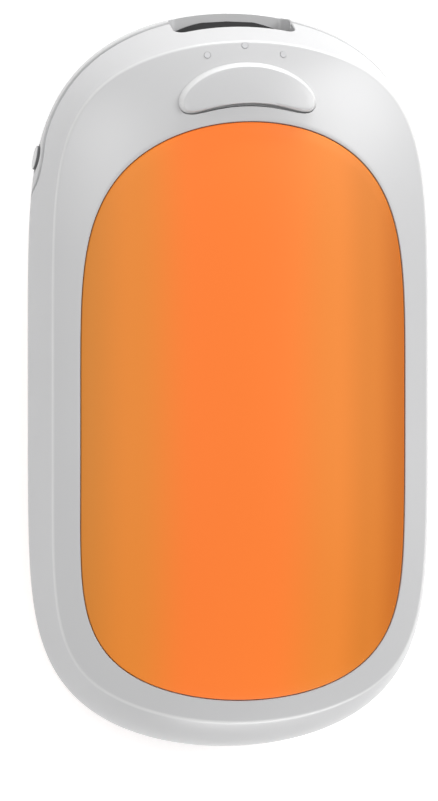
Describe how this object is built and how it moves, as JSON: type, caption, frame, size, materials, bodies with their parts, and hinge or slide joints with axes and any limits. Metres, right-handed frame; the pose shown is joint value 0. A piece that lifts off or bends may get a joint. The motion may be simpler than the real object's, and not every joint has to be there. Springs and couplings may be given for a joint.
{
  "type": "rechargeable hand warmer",
  "caption": "Palm-sized rechargeable hand warmer with a crowned heat plate in each face, a crescent heat button, a side key and a power output socket.",
  "frame": {"origin": "middle of the body's width and length between the round ends, at the flat of the rear heat plate that it rests on", "axes": "+X to the right seen from the front, +Y towards the socket end, +Z towards the front heat plate"},
  "size_m": [0.06, 0.1064, 0.0256],
  "materials": {
    "shell_plastic": "fine satin texture",
    "plate_coating": "satin orange coating on aluminium",
    "film": "amber polyimide",
    "wire": "silicone",
    "sensor": "resin bead",
    "cell_sleeve": "shrink sleeve",
    "nickel": "plain strip",
    "cradle_plastic": "moulded",
    "board": "solder mask",
    "chip": "moulded",
    "ferrite": "sintered",
    "capacitor": "sintered",
    "socket_steel": "pressed sheet",
    "tongue_plastic": "moulded",
    "liner_plastic": "moulded",
    "button_plastic": "satin gloss",
    "switch_plastic": "moulded",
    "plunger_plastic": "moulded",
    "lens": "clear moulded",
    "led": "moulded",
    "screw_steel": "plated"
  },
  "bodies": {
    "body": {"front_shell": "shell_plastic", "rear_shell": "shell_plastic", "front_heat_plate": "plate_coating", "rear_heat_plate": "plate_coating", "front_heater_film": "film", "rear_heater_film": "film", "heater_leads": "wire", "thermistor": "sensor", "cell_left": "cell_sleeve", "cell_right": "cell_sleeve", "cell_tabs": "nickel", "battery_cradle": "cradle_plastic", "main_board": "board", "button_board": "board", "board_link": "cradle_plastic", "control_chip": "chip", "power_inductor": "ferrite", "board_capacitors": "capacitor", "usb_out_shell": "socket_steel", "usb_out_tongue": "tongue_plastic", "bay_liner": "liner_plastic", "charge_socket_shell": "socket_steel", "charge_socket_tongue": "tongue_plastic", "heat_switch": "switch_plastic", "side_switch": "switch_plastic", "indicator_lenses": "lens", "indicator_leds": "led", "case_screws": "screw_steel", "board_screws": "screw_steel"},
    "heat_key": {"heat_button": "button_plastic", "heat_switch_plunger": "plunger_plastic"},
    "side_key": {"side_button": "button_plastic", "side_switch_plunger": "plunger_plastic"}
  },
  "joints": [
    {"name": "heat_button_press", "type": "slide", "parent": "body", "child": "heat_key", "axis": [0, 0, -1], "range_m": [0, 0.0003], "stiffness_N_per_m": 1000, "springref_m": -0.0006},
    {"name": "side_button_press", "type": "slide", "parent": "body", "child": "side_key", "axis": [0.9798, -0.2001, 0], "range_m": [0, 0.0004], "stiffness_N_per_m": 1000, "springref_m": -0.0006}
  ]
}
